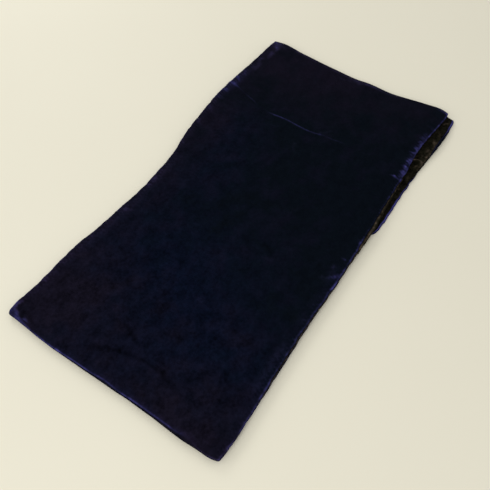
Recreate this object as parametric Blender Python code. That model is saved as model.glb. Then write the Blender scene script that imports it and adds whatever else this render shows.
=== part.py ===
"""A velvet snood laid flat on a table.

The garment is a wide loop of two cloths. A strip of navy velvet and a strip of brown lining velvet are
each joined into a ring, sewn together along both long rims and turned right side out, so the navy
faces out and the brown faces in. Laid flat, the loop is an upper and a lower stretch with a soft fold
at the near and the far end. Its left and right sides are the open rims. The lower stretch lies askew,
so that its lining shows beyond the right rim at the far end.

Metres, +Z up, +Y along the loop to its far fold, +X across it. The origin is under the middle.
"""

import math

import bmesh
import bpy
from mathutils import Vector

MM = 0.001

# The cloth
WALL = 1.2 * MM
SEAM_GAP = 0.3 * MM
DOUBLE_CLOTH = 2 * WALL + SEAM_GAP
ROLL = DOUBLE_CLOTH / 2  # the radius of the rim, where the navy velvet rolls over to the lining

# The mesh: how finely the loop and its width are divided
FOLD_STEPS = 8
COLUMNS = 13
ROLL_STEPS = 4
STATION_STEP = 20 * MM
FINE_STEP = 5 * MM
FINE_PARTS = {"upper": ((122, 164),), "lower": ((15, 50), (250, 275))}

# The two folds. A row is one place across the loop: x, the near fold's y and the height of the
# flattened loop there, and the far fold's y and height, all in millimetres.
FOLD_ROWS = (
    # x, near_y, near_height, far_y, far_height
    (-140, -280.3, 8.2, 272.8, 9.2),
    (-118, -281.0, 8.4, 275.5, 9.2),
    (-90, -283.2, 8.6, 272.6, 8.5),
    (-58, -283.5, 8.6, 270.3, 7.8),
    (-25, -283.3, 8.6, 268.6, 7.4),
    (5, -283.1, 8.5, 267.7, 7.2),
    (28, -282.7, 8.5, 269.8, 7.3),
    (58, -283.0, 8.6, 268.3, 7.6),
    (96, -284.5, 8.8, 273.1, 8.6),
    (124, -283.8, 8.6, 277.1, 9.2),
    (134, -283.3, 8.4, 277.0, 9.2),
    (143, -280.9, 8.2, 274.6, 9.2),
)

# The rims of the upper stretch. A row is one place along the loop: y, left x and right x, in
# millimetres. The left rim swings in and out as the cloth eases.
UPPER_ROWS = (
    # y, left, right
    (-284, -139.6, 141.8),
    (-268, -141.0, 144.2),
    (-245, -138.5, 144.7),
    (-225, -137.9, 143.8),
    (-205, -138.1, 143.9),
    (-170, -136.8, 143.2),
    (-148, -133.2, 142.9),
    (-104, -129.5, 143.2),
    (-80, -127.4, 144.1),
    (-56, -127.0, 144.6),
    (-32, -127.5, 144.5),
    (-9, -128.5, 145.0),
    (14, -131.8, 146.0),
    (37, -136.7, 146.4),
    (61, -139.8, 144.9),
    (82, -141.4, 143.2),
    (104, -143.2, 141.9),
    (127, -144.3, 141.0),
    (150, -143.8, 139.0),
    (174, -142.5, 137.7),
    (203, -140.2, 138.8),
    (231, -138.9, 142.0),
    (257, -137.7, 144.2),
    (268, -136.2, 143.8),
    (278, -133.6, 143.0),
)

# The rims of the lower stretch, in the same columns. From its near half, where it lies square under
# the upper stretch, it drifts to the right.
LOWER_ROWS = (
    # y, left, right
    (-284, -139.0, 142.4),
    (-268, -139.5, 143.4),
    (-190, -137.0, 143.4),
    (-110, -130.5, 142.4),
    (-40, -128.6, 143.0),
    (23, -129.8, 143.6),
    (31, -130.3, 144.8),
    (39, -130.7, 148.7),
    (52, -131.0, 150.1),
    (80, -131.2, 150.5),
    (101, -131.0, 150.1),
    (125, -130.4, 150.7),
    (150, -129.0, 151.6),
    (175, -127.8, 153.7),
    (203, -126.5, 156.4),
    (232, -125.4, 157.8),
    (252, -124.6, 156.4),
    (262, -124.3, 155.6),
    (266, -124.1, 153.2),
    (270, -124.0, 149.6),
    (278, -124.0, 146.0),
)

# Broad swells and hollows of the upper stretch: the middle, the reach each way and the height.
SWELL_ROWS = (
    # x, y, reach_x, reach_y, height
    (-135, 135, 60, 70, 0.8),
    (-120, -55, 60, 60, -0.9),
    (15, -80, 90, 75, 0.7),
    (60, 70, 70, 60, -0.7),
    (-30, 30, 60, 50, 0.5),
    (-55, -200, 70, 50, -0.6),
    (110, -170, 50, 80, 0.5),
    (90, 200, 60, 40, -0.5),
)

# The crease across the upper stretch, left where the snood was folded away: a soft ridge.
CREASE_ROWS = (
    # x, y, height
    (-150, 157.0, 0.9),
    (-122, 151.8, 0.9),
    (-83, 141.5, 0.8),
    (-40, 138.2, 0.9),
    (10, 141.4, 0.9),
    (45, 143.4, 0.5),
    (85, 138.0, 0.2),
    (119, 128.0, 0.4),
    (150, 125.5, 0.5),
)
CREASE_REACH = 6 * MM

# The share of the way up the far fold at which its rims reach the upper stretch's.
RIM_TURN = 0.35

NAVY = (0.0048, 0.0058, 0.0125, 1.0)
BROWN = (0.0220, 0.0165, 0.0105, 1.0)


def smooth(share):
    """Eases from 0 to 1, with no slope at either end."""
    share = min(1.0, max(0.0, share))
    return share * share * (3 - 2 * share)


def column(rows, at, index):
    """One column of a table at a place between its rows, on a smooth curve, in metres."""
    at /= MM
    last = len(rows) - 1
    if at <= rows[0][0]:
        return rows[0][index] * MM
    if at >= rows[last][0]:
        return rows[last][index] * MM
    i = max(k for k in range(last) if rows[k][0] <= at)

    def slope(k):
        low, high = max(k - 1, 0), min(k + 1, last)
        return (rows[high][index] - rows[low][index]) / (rows[high][0] - rows[low][0])

    span = rows[i + 1][0] - rows[i][0]
    s = (at - rows[i][0]) / span
    start = (1 + 2 * s) * (1 - s) ** 2 * rows[i][index] + s * (1 - s) ** 2 * span * slope(i)
    end = s * s * (3 - 2 * s) * rows[i + 1][index] - s * s * (1 - s) * span * slope(i + 1)
    return (start + end) * MM


def bump(distance, reach):
    """A soft round bump of height 1 that ends at its reach."""
    return (1 - smooth(abs(distance) / reach)) if abs(distance) < reach else 0.0


def swells(x, y):
    """How far the upper stretch stands above its even height."""
    height = 0.0
    for middle_x, middle_y, reach_x, reach_y, rise in SWELL_ROWS:
        off_x = (x - middle_x * MM) / (reach_x * MM)
        off_y = (y - middle_y * MM) / (reach_y * MM)
        height += rise * MM * math.exp(-off_x * off_x - off_y * off_y)
    crease_y = column(CREASE_ROWS, x, 1)
    return height + column(CREASE_ROWS, x, 2) * bump(y - crease_y, CREASE_REACH)


class Station:
    """One place round the loop: a stretch or fold, and the share of the way along it.

    The stretches run from the near to the far fold. A fold runs from the lower to the upper stretch.
    """

    def __init__(self, part, share):
        self.part = part
        self.share = share
        turned = share / RIM_TURN if part == "far" else share
        self.upper = {"lower": 0.0, "upper": 1.0}.get(part, smooth(turned))

    def rim(self, side):
        """The x of the left (1) or right (2) rim, its roll included."""
        y = self.place(0.0, 0.0).y
        lower = column(LOWER_ROWS, y, side)
        return lower + (column(UPPER_ROWS, y, side) - lower) * self.upper

    def place(self, x, depth):
        """The point at x that lies depth inside the loop's outer face."""
        near_radius = column(FOLD_ROWS, x, 2) / 2
        far_radius = column(FOLD_ROWS, x, 4) / 2
        near_y = column(FOLD_ROWS, x, 1) + near_radius
        far_y = column(FOLD_ROWS, x, 3) - far_radius
        if self.part in ("near", "far"):
            angle = math.pi * (self.share - 0.5)
            radius, y, way = (near_radius, near_y, -1) if self.part == "near" else (far_radius, far_y, 1)
            across = (radius - depth) * math.cos(angle)
            return Vector((x, y + way * across, radius + (radius - depth) * math.sin(angle)))
        y = near_y + (far_y - near_y) * self.share
        if self.part == "lower":
            return Vector((x, y, depth))
        height = 2 * (near_radius + (far_radius - near_radius) * smooth(self.share))
        level = math.sin(math.pi * self.share) ** 0.5  # the swells die out at the folds
        return Vector((x, y, height + swells(x, y) * level - depth))


def shares(part):
    """The stations of a stretch, closer together where its rim or its crease turns quickly."""
    near_y, far_y = FOLD_ROWS[0][1] * MM, FOLD_ROWS[0][3] * MM
    length = far_y - near_y
    places, y = [], near_y
    while y < far_y - FINE_STEP / 2:
        places.append((y - near_y) / length)
        fine = any(low * MM <= y < high * MM for low, high in FINE_PARTS[part])
        y += FINE_STEP if fine else STATION_STEP
    return places + [1.0]


def loop_of_stations():
    """All the stations in order: far along the lower stretch and back along the upper one."""
    inside = [k / FOLD_STEPS for k in range(1, FOLD_STEPS)]
    lower = [Station("lower", share) for share in shares("lower")]
    far = [Station("far", share) for share in inside]
    upper = [Station("upper", share) for share in reversed(shares("upper"))]
    near = [Station("near", share) for share in reversed(inside)]
    return lower + far + upper + near


def spread(start, end):
    """Even columns from one x to another."""
    return [start + (end - start) * k / (COLUMNS - 1) for k in range(COLUMNS)]


def outer_section(station):
    """The navy strip at a station: a wall whose two rims roll over the lining's edges."""
    left, right = station.rim(1), station.rim(2)
    columns = spread(left + ROLL, right - ROLL)
    turns = [math.pi * k / ROLL_STEPS for k in range(1, ROLL_STEPS + 1)]
    roll = [(ROLL * math.sin(turn), ROLL - ROLL * math.cos(turn)) for turn in turns]
    section = [(x, 0.0) for x in columns]
    section += [(right - ROLL + out, depth) for out, depth in roll]
    section += [(x, WALL) for x in reversed(columns)]
    section += [(left + ROLL - out, depth) for out, depth in reversed(roll)]
    return [station.place(x, depth) for x, depth in section]


def lining_section(station):
    """The brown strip at a station: a plain wall inside the navy one, between its two rims."""
    edge = ROLL + SEAM_GAP
    columns = spread(station.rim(1) + edge, station.rim(2) - edge)
    section = [(x, WALL + SEAM_GAP) for x in columns]
    section += [(x, DOUBLE_CLOTH) for x in reversed(columns)]
    return [station.place(x, depth) for x, depth in section]


def velvet(name, colour):
    """A plain dark velvet."""
    material = bpy.data.materials.new(name)
    material.use_nodes = True
    shader = material.node_tree.nodes["Principled BSDF"]
    shader.inputs["Base Color"].default_value = colour
    shader.inputs["Roughness"].default_value = 0.85
    shader.inputs["Metallic"].default_value = 0.0
    shader.inputs["Sheen Weight"].default_value = 0.5
    material.diffuse_color = colour
    return material


def ring(name, sections, middle, material):
    """A closed wall that joins each section to the next, all the way round the loop."""
    mesh = bmesh.new()
    rows = [[mesh.verts.new(point - middle) for point in section] for section in sections]
    for row, following in zip(rows, rows[1:] + rows[:1]):
        for i, here in enumerate(row):
            j = (i + 1) % len(row)
            there = row[j]
            if here.co.x <= there.co.x:  # facing walls are cut along like diagonals, so they stay apart
                mesh.faces.new((here, there, following[j]))
                mesh.faces.new((here, following[j], following[i]))
            else:
                mesh.faces.new((here, there, following[i]))
                mesh.faces.new((there, following[j], following[i]))
    bmesh.ops.recalc_face_normals(mesh, faces=mesh.faces)
    data = bpy.data.meshes.new(name)
    mesh.to_mesh(data)
    mesh.free()
    data.materials.append(material)
    data.shade_smooth()
    data.set_sharp_from_angle(angle=math.radians(50))
    piece = bpy.data.objects.new(name, data)
    bpy.context.scene.collection.objects.link(piece)
    return piece


def footprint_middle(sections):
    """The point under the middle of the box round all the sections."""
    points = [point for section in sections for point in section]
    x = (min(p.x for p in points) + max(p.x for p in points)) / 2
    y = (min(p.y for p in points) + max(p.y for p in points)) / 2
    return Vector((x, y, 0.0))


def main():
    for thing in list(bpy.data.objects):
        bpy.data.objects.remove(thing)
    stations = loop_of_stations()
    outer = [outer_section(station) for station in stations]
    lining = [lining_section(station) for station in stations]
    middle = footprint_middle(outer)
    ring("outer_velvet", outer, middle, velvet("navy velvet", NAVY))
    ring("lining_velvet", lining, middle, velvet("brown velvet", BROWN))


main()
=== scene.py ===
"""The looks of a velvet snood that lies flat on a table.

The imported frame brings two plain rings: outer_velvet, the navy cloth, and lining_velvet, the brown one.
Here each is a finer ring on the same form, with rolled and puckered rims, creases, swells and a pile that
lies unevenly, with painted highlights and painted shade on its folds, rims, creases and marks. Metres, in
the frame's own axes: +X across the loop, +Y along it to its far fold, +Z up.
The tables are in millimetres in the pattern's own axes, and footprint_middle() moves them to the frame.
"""

import math

import bpy
import numpy as np
from mathutils import Matrix, Vector

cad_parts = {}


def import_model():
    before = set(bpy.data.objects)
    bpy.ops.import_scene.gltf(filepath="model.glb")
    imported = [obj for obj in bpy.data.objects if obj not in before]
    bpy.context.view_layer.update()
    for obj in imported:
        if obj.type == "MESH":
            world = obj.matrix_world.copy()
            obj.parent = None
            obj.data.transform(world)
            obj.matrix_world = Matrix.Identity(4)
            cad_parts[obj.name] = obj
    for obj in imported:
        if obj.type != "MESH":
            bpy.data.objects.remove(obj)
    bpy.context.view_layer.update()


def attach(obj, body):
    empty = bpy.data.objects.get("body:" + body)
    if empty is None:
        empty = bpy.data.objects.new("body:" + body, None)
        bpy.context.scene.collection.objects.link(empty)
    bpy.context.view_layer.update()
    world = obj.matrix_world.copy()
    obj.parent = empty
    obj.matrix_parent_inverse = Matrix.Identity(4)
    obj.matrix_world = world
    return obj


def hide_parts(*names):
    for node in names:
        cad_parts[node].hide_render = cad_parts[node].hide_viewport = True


MM = 0.001

# The cloth. Both cloths lie face to face, and at the rims they roll round a small radius.
DOUBLE_CLOTH = 2.7 * MM
ROLL = DOUBLE_CLOTH / 2
WALL = 1.0 * MM
SEAM_GAP = 0.12 * MM
SEAM_ROUND = 0.7 * MM

# The mesh: each cloth's fine columns by its seams and how far in they reach, the even ones between, shown
# and hidden, and the steps round a fold.
OUTER_REACH = 11 * MM
LINING_REACH = 19 * MM
ROUND_COLUMNS = 4
EDGE_COLUMNS = 13
EDGE_CROWDING = 1.6
OUTER_MIDDLE = 94
LINING_MIDDLE = 34
HIDDEN_MIDDLE = 14
HIDDEN_EDGE = 1.6 * MM
FOLD_STEPS = 22
LAST_STEP = 0.5 * MM

# How far apart the stations of a stretch are, in millimetres.
UPPER_STEPS = (
    # y, step
    (-284, 1.6),
    (-262, 2.2),
    (100, 2.2),
    (116, 0.8),
    (164, 0.8),
    (172, 1.1),
    (210, 1.2),
    (240, 2.0),
    (278, 1.4),
)
LOWER_STEPS = (
    # y, step
    (-284, 3.5),
    (0, 3.5),
    (25, 2.0),
    (140, 2.2),
    (150, 1.4),
    (220, 1.6),
    (278, 1.4),
)

# The two folds. A row is one place across the loop: x, the near fold's y and the height of the
# flattened loop there, and the far fold's y and height.
FOLD_ROWS = (
    # x, near_y, near_height, far_y, far_height
    (-140, -280.3, 8.2, 272.8, 9.2),
    (-118, -281.0, 8.4, 275.5, 9.2),
    (-90, -283.2, 8.6, 272.6, 8.5),
    (-58, -283.5, 8.6, 270.3, 7.8),
    (-25, -283.3, 8.6, 268.6, 7.4),
    (5, -283.1, 8.5, 267.7, 7.2),
    (28, -282.7, 8.5, 269.8, 7.3),
    (58, -283.0, 8.6, 268.3, 7.6),
    (96, -284.5, 8.8, 273.1, 8.6),
    (124, -283.8, 8.6, 277.1, 9.2),
    (134, -283.3, 8.4, 277.0, 9.2),
    (143, -280.9, 8.2, 274.6, 9.2),
)

# The rims of the upper stretch and of the lower one.
UPPER_ROWS = (
    # y, left, right
    (-284, -139.6, 141.8),
    (-268, -141.0, 144.2),
    (-245, -138.5, 144.7),
    (-225, -137.9, 143.8),
    (-205, -138.1, 143.9),
    (-170, -136.8, 143.2),
    (-148, -133.2, 142.9),
    (-104, -129.5, 143.2),
    (-80, -127.4, 144.1),
    (-56, -127.0, 144.6),
    (-32, -127.5, 144.5),
    (-9, -128.5, 145.0),
    (14, -131.8, 146.0),
    (37, -136.7, 146.4),
    (61, -139.8, 144.9),
    (82, -141.4, 143.2),
    (104, -143.2, 141.9),
    (127, -144.3, 141.0),
    (150, -143.8, 139.0),
    (174, -142.5, 137.7),
    (203, -140.2, 138.8),
    (231, -138.9, 142.0),
    (257, -137.7, 144.2),
    (268, -136.2, 143.8),
    (278, -133.6, 143.0),
)
LOWER_ROWS = (
    # y, left, right
    (-284, -139.0, 142.4),
    (-268, -139.5, 143.4),
    (-190, -137.0, 143.4),
    (-110, -130.5, 142.4),
    (-40, -128.6, 143.0),
    (23, -129.8, 143.6),
    (31, -130.3, 144.8),
    (39, -130.7, 148.7),
    (52, -131.0, 150.1),
    (80, -131.2, 150.5),
    (101, -131.0, 150.1),
    (125, -130.4, 150.7),
    (150, -129.0, 151.6),
    (175, -127.8, 153.7),
    (203, -126.5, 156.4),
    (232, -125.4, 157.8),
    (252, -124.6, 156.4),
    (262, -124.3, 155.6),
    (266, -124.1, 153.2),
    (270, -124.0, 149.6),
    (278, -124.0, 146.0),
)

# The share of the way round the far fold in which the rims turn into the upper stretch's.
RIM_TURN = 0.35

# The left and right rims, each as its sign along x and its column in the tables.
SIDES = ((-1, 1), (1, 2))

# The small waves of the rims and of the folds.
RIM_WAVE_ROWS = (
    # wave, reach, seed
    (17, 0.16, 20),
    (6.5, 0.10, 25),
)
FOLD_WAVE, FOLD_WAVE_REACH = 30 * MM, 0.08 * MM

# Where the seam lies on a rim: its distance over the roll from the outermost line, towards the lining.
# Below zero the lining rolls out over the edge, and far above zero the navy cloth rolls in.
UPPER_SEAM_ROWS = (
    # y, left, right
    (-284, 1.3, 1.2),
    (-225, 1.2, 0.4),
    (-205, 1.1, -0.9),
    (-190, 1.1, -1.7),
    (-120, 1.5, -1.8),
    (-80, 1.3, -1.7),
    (-60, 1.2, -1.2),
    (-34, 1.1, -1.4),
    (-15, 1.0, -2.2),
    (-5, 1.3, -2.7),
    (8, 1.4, -4.0),
    (25, 1.5, -5.2),
    (42, 1.5, -5.3),
    (60, 1.3, -4.8),
    (80, 1.2, -3.5),
    (100, 1.1, -2.6),
    (126, 1.3, -1.4),
    (136, 1.2, 0.5),
    (150, 1.0, 1.2),
    (278, 1.2, 1.4),
)
LOWER_SEAM_ROWS = (
    # y, left, right
    (-284, 1.3, 1.2),
    (0, 1.0, 1.6),
    (30, 1.2, 3.0),
    (60, 1.2, 3.6),
    (110, 1.0, 3.0),
    (132, 1.0, 2.2),
    (148, 1.2, 0.8),
    (178, 1.3, 0.7),
    (192, 1.2, 2.6),
    (206, 1.2, 4.5),
    (226, 1.2, 4.5),
    (240, 1.2, 3.7),
    (262, 1.0, 3.8),
    (278, 1.2, 2.0),
)

# How far the lower stretch's right rim curls up where it lies clear of the upper stretch.
CURL_ROWS = (
    # y, height
    (120, 0.0),
    (150, 0.4),
    (175, 1.2),
    (205, 2.6),
    (228, 2.4),
    (250, 1.2),
    (266, 0.2),
    (272, 0.0),
)
CURL_REACH = 8 * MM
CURL_POWER = 1.5

# Broad swells and hollows of the upper stretch.
SWELL_ROWS = (
    # x, y, reach_x, reach_y, height
    (-135, 135, 60, 70, 0.8),
    (-120, -55, 60, 60, -0.9),
    (15, -80, 90, 75, 0.7),
    (60, 70, 70, 60, -0.7),
    (-30, 30, 60, 50, 0.5),
    (-55, -200, 70, 50, -0.6),
    (110, -170, 50, 80, 0.5),
    (90, 200, 60, 40, -0.5),
)

# The upper stretch's smaller unevenness, and how uneven() adds up its waves.
UNEVEN_ROWS = (
    # wave, height, seed
    (55, 0.10, 11),
    (21, 0.05, 12),
    (9, 0.02, 13),
)
WAVES = 14
SHORTEST_WAVE, LONGEST_WAVE = 0.65, 1.5

# The crease across the upper stretch: a narrow ridge on a soft one. Its glow is a painted highlight a
# little beyond the ridge's line, in a cool blue.
CREASE_ROWS = (
    # x, y, height, glow
    (-150, 157.5, 0.9, 0.14),
    (-138, 157.2, 0.9, 0.17),
    (-128, 154.8, 0.8, 0.28),
    (-119, 151.2, 0.7, 0.14),
    (-110, 148.4, 0.6, 0.14),
    (-103, 146.6, 0.6, 0.25),
    (-92, 143.2, 0.6, 0.22),
    (-84, 139.8, 0.5, 0.08),
    (-66, 137.2, 0.6, 0.08),
    (-58, 136.8, 0.9, 0.42),
    (-48, 138.0, 0.9, 0.50),
    (-34, 138.6, 0.9, 0.42),
    (-16, 137.4, 0.9, 0.46),
    (0, 137.6, 0.8, 0.38),
    (12, 139.4, 0.6, 0.28),
    (20, 141.4, 0.5, 0.16),
    (32, 142.0, 0.4, 0.20),
    (45, 143.6, 0.4, 0.20),
    (56, 144.0, 0.2, 0.00),
    (150, 130.0, 0.0, 0.00),
)
CREASE_REACH, CREASE_SOFT = 6 * MM, 0.55
CREASE_EDGE, CREASE_SHARP = 1.1 * MM, 0.5
CREASE_GLOW_BEYOND, CREASE_GLOW_WIDTH = 0.2 * MM, 1.3 * MM
CREASE_COOL = 0.7

# Every short mark bends a little off its line, and narrows and fades to its end.
MARK_BEND, BEND_WAVE_X, BEND_WAVE_Y = 0.7 * MM, 13 * MM, 11 * MM
MARK_WIDTH, MARK_NARROWS, MARK_FADES = 1.15, 0.4, 0.45

# Short ridges, puckers and troughs of the upper stretch, and strips of painted highlight with no height,
# each along a line. A height below zero is a trough. They stand at a share of their heights. Glow is a
# painted highlight towards the pile's blue, and below zero painted shade.
UPPER_MARK_SHARE = 0.8
UPPER_MARKS = (
    # x, y, end_x, end_y, width, height, glow
    (129.5, 128.0, 139.0, 127.0, 2.2, 0.7, 0.56),
    (129.5, 128.0, 124.5, 129.0, 1.7, 0.5, 0.42),
    (138.0, 134.0, 134.0, 133.0, 1.8, 0.3, 0.22),
    (136.0, 141.0, 137.5, 137.5, 2.1, 0.6, 0.44),
    (136.0, 151.5, 138.0, 148.0, 2.2, 0.6, 0.34),
    (134.5, 151.5, 129.0, 151.5, 2.2, 0.4, 0.36),
    (133.5, 160.5, 136.5, 157.5, 2.0, 0.5, 0.44),
    (135.0, 164.5, 134.0, 166.5, 1.6, 0.4, 0.40),
    (134.0, 172.0, 135.5, 173.0, 2.4, 0.3, 0.22),
    (134.5, 178.5, 128.5, 177.5, 1.9, 0.6, 0.48),
    (133.8, 188.5, 135.5, 184.0, 2.1, 0.6, 0.47),
    (135.5, 196.0, 137.0, 193.0, 1.8, 0.3, 0.34),
    (133.0, 201.5, 135.5, 199.0, 2.2, 0.5, 0.40),
    (132.5, 209.5, 134.5, 208.0, 2.6, 0.3, 0.28),
    (134.0, 219.0, 132.0, 222.0, 2.6, 0.3, 0.18),
    (136.0, 214.0, 136.5, 196.0, 3.2, 0.0, 0.26),
    (135.0, 192.0, 134.5, 176.0, 4.0, 0.0, 0.27),
    (135.5, 166.0, 135.5, 148.0, 4.2, 0.0, 0.30),
    (136.5, 146.0, 137.0, 132.0, 3.4, 0.0, 0.26),
    (139.0, 232.0, 131.0, 235.0, 2.0, 0.3, 0.18),
    (141.5, 272.0, 138.5, 273.0, 2.6, 0.2, 0.55),
    (142.0, 14.0, 137.0, 17.0, 2.4, 0.2, 0.22),
    (135.5, -17.5, 131.5, -16.5, 2.2, 0.4, 0.34),
    (131.0, -32.0, 127.0, -31.5, 2.6, 0.3, 0.26),
    (141.0, -40.0, 136.5, -45.0, 2.2, 0.6, 0.34),
    (136.5, -45.0, 131.5, -49.5, 2.4, 0.5, 0.34),
    (126.0, -52.0, 122.0, -54.0, 2.4, 0.3, 0.22),
    (142.0, -64.0, 136.0, -66.0, 1.6, 0.3, 0.14),
    (142.0, -86.0, 135.0, -88.0, 1.7, 0.4, 0.10),
    (142.0, -108.0, 135.0, -110.0, 1.8, 0.4, 0.16),
    (142.0, -133.0, 136.0, -134.0, 1.6, 0.3, 0.14),
    (142.0, -152.0, 135.0, -153.5, 1.8, 0.4, 0.14),
    (142.0, -174.0, 137.0, -173.0, 1.7, 0.3, 0.12),
    (142.0, -196.0, 137.0, -197.0, 1.7, 0.3, 0.08),
    (144.0, -238.0, 138.0, -240.0, 1.8, 0.4, 0.18),
    (142.5, -266.5, 141.0, -268.0, 1.6, 0.2, 0.28),
    (141.0, -275.0, 141.5, -215.0, 4.5, 0.0, 0.11),
    (-140.0, 173.5, -133.0, 167.0, 2.6, 0.4, 0.44),
    (-138.0, 157.5, -131.0, 156.5, 3.8, 0.2, 0.40),
    (-139.5, 140.5, -136.0, 140.5, 3.2, 0.4, 0.46),
    (-140.0, 124.0, -134.0, 123.0, 4.0, 0.3, 0.18),
    (-140.0, 102.0, -128.0, 94.0, 2.4, 0.4, 0.13),
    (-137.0, 72.0, -128.0, 64.0, 2.2, 0.3, 0.22),
    (-133.0, 30.0, -126.0, 24.0, 2.2, 0.3, 0.18),
    (-127.0, -40.0, -121.0, -44.0, 2.4, 0.3, 0.12),
    (-127.0, -72.0, -121.0, -75.0, 2.4, 0.3, 0.18),
    (-122.0, -101.0, -113.5, -96.5, 2.8, 0.5, 0.28),
    (-133.0, -150.0, -127.0, -153.0, 2.2, 0.3, 0.14),
    (-136.0, -196.0, -129.0, -199.0, 2.2, 0.3, 0.09),
    (-137.0, -226.0, -130.0, -230.0, 2.4, 0.3, 0.09),
    (-134.0, 267.0, -119.0, 266.5, 3.0, 0.3, 0.21),
    (-128.0, 262.0, -108.0, 265.0, 5.0, 0.0, 0.18),
    (-129.0, 262.0, -125.0, 258.0, 3.4, 0.4, 0.18),
    (-124.5, 257.0, -122.5, 252.0, 3.8, 0.4, 0.38),
    (-125.0, 244.0, -124.0, 232.0, 3.6, 0.3, 0.32),
    (-128.5, 213.0, -127.0, 201.0, 3.2, 0.3, 0.25),
    (-134.0, 207.0, -132.0, 199.0, 2.6, 0.2, 0.16),
    (-133.0, 224.0, -131.0, 217.0, 2.4, 0.2, 0.24),
    (-138.0, 190.0, -134.0, 184.0, 2.4, 0.2, 0.24),
    (-139.0, -265.0, -137.0, -272.0, 2.6, 0.3, 0.40),
    (-138.0, -270.0, -134.0, -279.0, 3.6, 0.3, 0.28),
    (-131.0, -274.0, -127.5, -281.0, 2.8, 0.3, 0.42),
    (-118.0, -276.0, -112.0, -281.0, 3.0, 0.4, 0.54),
    (-136.0, -262.0, -133.0, -268.0, 1.6, 0.2, 0.34),
    (-125.5, -269.0, -122.0, -278.0, 2.0, -0.6, -0.75),
    (-133.0, -267.5, -129.5, -271.5, 1.8, -0.4, -0.60),
    (-113.0, -272.0, -105.0, -275.5, 2.2, -0.5, -0.60),
    (-14.0, 254.0, 12.0, 259.5, 3.2, 0.3, 0.17),
    (12.0, 259.5, 38.0, 267.0, 3.2, 0.2, 0.17),
    (14.0, 141.0, 25.0, 156.0, 2.6, 0.3, 0.20),
    (-6.0, 108.0, 2.0, 92.0, 2.8, 0.3, 0.14),
    (-34.0, -257.5, -8.0, -248.0, 2.8, -0.8, -0.75),
    (-8.0, -248.0, 18.0, -241.5, 3.0, -0.9, -0.70),
    (18.0, -241.5, 45.0, -242.0, 3.0, -0.8, -0.70),
    (45.0, -242.0, 68.0, -250.0, 3.2, -0.6, -0.60),
    (-20.0, -221.5, -2.0, -229.0, 3.2, -0.7, -0.60),
    (-2.0, -229.0, 10.0, -229.5, 3.0, -0.5, -0.55),
    (48.0, -50.0, 62.0, -57.0, 3.6, -0.4, -0.45),
    (22.0, -56.0, 36.0, -54.0, 3.6, -0.3, -0.40),
    (50.0, 14.0, 58.0, 21.0, 3.0, 0.2, 0.13),
    (60.0, -64.0, 76.0, -61.0, 3.0, 0.2, 0.13),
)

# Ridges and troughs of the brown face of the lower stretch, where it shows beyond the right rim and further
# in.
# Glow is a painted highlight on a ridge, and below zero painted shade.
LINING_MARKS = (
    # x, y, end_x, end_y, width, height, glow
    (132.0, 173.5, 139.0, 174.5, 1.4, 0.7, 0.50),
    (138.5, 174.5, 143.0, 176.8, 1.4, 0.8, 0.62),
    (148.5, 174.5, 143.0, 176.5, 1.7, 0.8, 0.74),
    (142.0, 172.0, 149.0, 170.5, 1.6, -0.5, -0.80),
    (144.0, 163.5, 147.0, 165.0, 2.2, 0.6, 0.66),
    (140.0, 168.5, 147.0, 168.0, 1.8, -0.4, -0.55),
    (150.0, 217.0, 147.5, 221.5, 2.2, 0.6, 0.66),
    (150.5, 213.0, 151.0, 203.0, 1.7, 0.4, 0.46),
    (151.5, 198.0, 150.5, 187.0, 1.6, 0.4, 0.52),
    (151.0, 186.0, 150.8, 176.0, 1.5, 0.4, 0.58),
    (150.5, 171.0, 150.0, 160.0, 1.5, 0.4, 0.60),
    (147.0, 200.0, 146.5, 192.0, 2.6, 0.3, 0.40),
    (143.5, 187.0, 146.0, 184.0, 2.2, 0.3, 0.36),
    (142.0, 205.0, 147.0, 208.0, 2.0, -0.5, -0.50),
    (141.0, 195.0, 145.0, 193.0, 2.0, -0.5, -0.50),
    (141.0, 181.0, 145.0, 179.0, 1.8, -0.4, -0.50),
    (141.0, 222.0, 145.0, 226.0, 2.2, -0.4, -0.50),
    (146.0, 246.0, 150.0, 243.0, 1.8, -0.4, -0.45),
    (147.0, 238.0, 151.0, 231.0, 2.2, 0.3, 0.34),
    (146.0, 256.0, 151.0, 261.0, 2.4, 0.4, 0.46),
    (141.0, 155.0, 146.0, 153.0, 2.0, -0.4, -0.50),
    (143.0, 139.5, 147.5, 135.0, 2.2, 0.4, 0.52),
    (142.0, 129.0, 147.0, 127.0, 2.0, -0.3, -0.50),
    (142.0, 118.0, 147.0, 115.0, 2.0, 0.3, 0.36),
    (141.0, 98.0, 147.0, 94.0, 2.0, 0.3, 0.34),
    (141.0, 76.0, 147.0, 73.0, 2.0, 0.3, 0.30),
    (60.0, 200.0, 110.0, 188.0, 5.0, 0.5, 0.20),
    (-60.0, 90.0, -20.0, 70.0, 6.0, 0.5, 0.20),
    (-100.0, -60.0, -50.0, -80.0, 6.0, 0.5, 0.20),
    (20.0, -150.0, 80.0, -170.0, 6.0, 0.5, 0.20),
)

# Pressed creases of the navy face that lies on the table. They rise from it, so that it still lies flat.
# Glow is a painted highlight, and below zero painted shade.
UNDER_MARKS = (
    # x, y, end_x, end_y, width, height, glow
    (-128.0, 96.0, -70.0, 84.0, 5.0, 0.4, 0.30),
    (-62.0, 82.0, -14.0, 90.0, 4.6, 0.3, 0.26),
    (96.0, -118.0, 138.0, -112.0, 5.2, 0.4, 0.30),
    (40.0, -96.0, 84.0, -104.0, 4.8, 0.3, 0.22),
    (-20.0, 214.0, 46.0, 206.0, 6.0, 0.5, -0.60),
    (-70.0, -232.0, 6.0, -244.0, 6.4, 0.5, -0.60),
    (144.0, 62.0, 136.0, 60.0, 3.2, 0.3, 0.40),
    (145.0, 98.0, 137.0, 95.0, 3.4, 0.3, 0.36),
    (147.0, 186.0, 138.0, 183.0, 3.2, 0.3, 0.40),
    (-126.0, 150.0, -118.0, 147.0, 3.4, 0.3, 0.36),
    (-128.0, -20.0, -120.0, -22.0, 3.8, 0.3, 0.34),
)
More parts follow.
